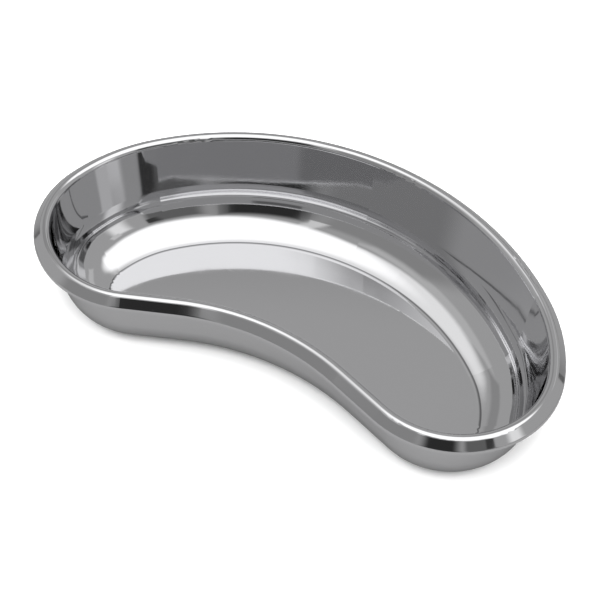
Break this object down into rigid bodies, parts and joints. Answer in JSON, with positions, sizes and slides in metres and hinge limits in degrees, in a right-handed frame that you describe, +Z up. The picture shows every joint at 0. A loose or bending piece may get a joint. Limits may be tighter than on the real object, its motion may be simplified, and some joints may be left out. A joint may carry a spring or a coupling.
{
  "type": "kidney dish",
  "caption": "Kidney-shaped ward dish of polished stainless sheet, with a flat base, a deep wall and a rim turned out and down, for holding instruments or waste.",
  "frame": {"origin": "on the standing surface, under the middle of the dish", "axes": "+X along the length, +Y from the hollow side of the kidney towards its round back, +Z up"},
  "size_m": [0.25, 0.1395, 0.0495],
  "materials": {
    "stainless_steel": "mirror polished, with fine wiping scratches"
  },
  "bodies": {
    "root": {"dish": "stainless_steel"}
  },
  "joints": []
}
